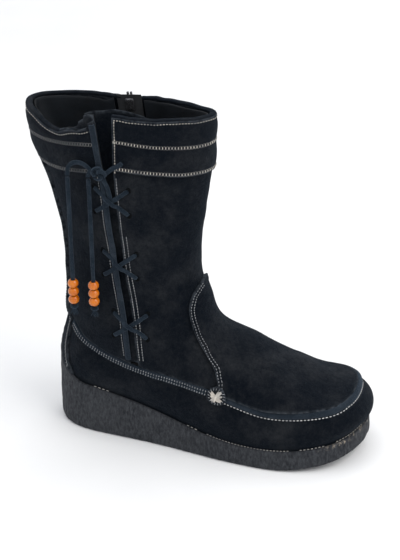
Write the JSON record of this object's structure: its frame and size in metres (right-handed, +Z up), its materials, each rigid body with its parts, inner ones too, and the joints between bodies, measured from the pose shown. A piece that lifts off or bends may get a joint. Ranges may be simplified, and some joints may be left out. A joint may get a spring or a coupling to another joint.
{
  "type": "moccasin boot",
  "caption": "Right-foot suede moccasin boot on a rubber wedge sole, with a plug seam, a laced and beaded side slit, a stitched cuff and a sliding inner zip.",
  "frame": {"origin": "on the ground under the middle of the sole length, on the centre line of the boot", "axes": "the toe points along -Y, +Z is up, and the laced outer side of this right boot faces -X"},
  "size_m": [0.1037, 0.2917, 0.2962],
  "materials": {
    "suede": "brushed nap",
    "lace_suede": "matt",
    "sole_rubber": "wrinkled crepe",
    "insole_board": "fibre board",
    "footbed_foam": "textile-covered foam",
    "lining": "satin",
    "zip_tape": "woven",
    "zip_coil": "satin",
    "zip_metal": "dark nickel",
    "ornament_thread": "matt",
    "bead_wood": "clear lacquer"
  },
  "bodies": {
    "boot": {"backstay": "suede", "cuff_front": "suede", "cuff_rear": "suede", "footbed": "footbed_foam", "heel_counter": "insole_board", "insole_board": "insole_board", "lace_arch": "lace_suede", "lace_knot": "lace_suede", "lace_over_1": "lace_suede", "lace_over_2": "lace_suede", "lace_over_3": "lace_suede", "lace_riser": "lace_suede", "lace_tail": "lace_suede", "lace_under_1": "lace_suede", "lace_under_2": "lace_suede", "lace_under_3": "lace_suede", "lining_front": "lining", "lining_rear": "lining", "moc_roll": "suede", "moc_strip_lateral": "suede", "moc_strip_medial": "suede", "ornament_knot_lateral": "ornament_thread", "ornament_knot_medial": "ornament_thread", "ornament_patch_lateral": "suede", "ornament_patch_medial": "suede", "outsole": "sole_rubber", "plug": "suede", "shaft_front": "suede", "shaft_rear_lateral": "suede", "shaft_rear_medial": "suede", "slit_gusset": "suede", "vamp_wall": "suede", "zip_bottom_stop": "zip_metal", "zip_coil_front": "zip_coil", "zip_coil_rear": "zip_coil", "zip_tape_front": "zip_tape", "zip_tape_rear": "zip_tape", "zip_top_stop_front": "zip_metal", "zip_top_stop_rear": "zip_metal"},
    "zip_slider": {"zip_slider": "zip_metal"},
    "zip_pull": {"zip_pull": "zip_metal"},
    "lace_end_rear": {"lace_end_rear": "lace_suede", "lace_end_knot_rear": "lace_suede"},
    "lace_end_front": {"lace_end_front": "lace_suede", "lace_end_knot_front": "lace_suede"},
    "beads_rear": {"bead_rear_1": "bead_wood", "bead_rear_2": "bead_wood", "bead_rear_3": "bead_wood"},
    "beads_front": {"bead_front_1": "bead_wood", "bead_front_2": "bead_wood", "bead_front_3": "bead_wood"}
  },
  "joints": [
    {"name": "zip_slide", "type": "slide", "parent": "boot", "child": "zip_slider", "axis": [0.0628, -0.0965, -0.9933], "range_m": [0, 0.118]},
    {"name": "zip_pull_hinge", "type": "hinge", "parent": "zip_slider", "child": "zip_pull", "pos_m": [0.02818, 0.07261, 0.28779], "axis": [-0.0371, -0.9949, 0.0943], "range_deg": [0, 100]},
    {"name": "lace_swing_rear", "type": "hinge", "parent": "boot", "child": "lace_end_rear", "pos_m": [-0.0445, 0.105, 0.246], "axis": [0, 1, 0], "range_deg": [0, 60]},
    {"name": "lace_swing_front", "type": "hinge", "parent": "boot", "child": "lace_end_front", "pos_m": [-0.0445, 0.0875, 0.246], "axis": [0, 1, 0], "range_deg": [0, 60]},
    {"name": "beads_slide_rear", "type": "slide", "parent": "lace_end_rear", "child": "beads_rear", "axis": [0, 0, 1], "range_m": [0, 0.07]},
    {"name": "beads_slide_front", "type": "slide", "parent": "lace_end_front", "child": "beads_front", "axis": [0, 0, 1], "range_m": [0, 0.07]}
  ]
}
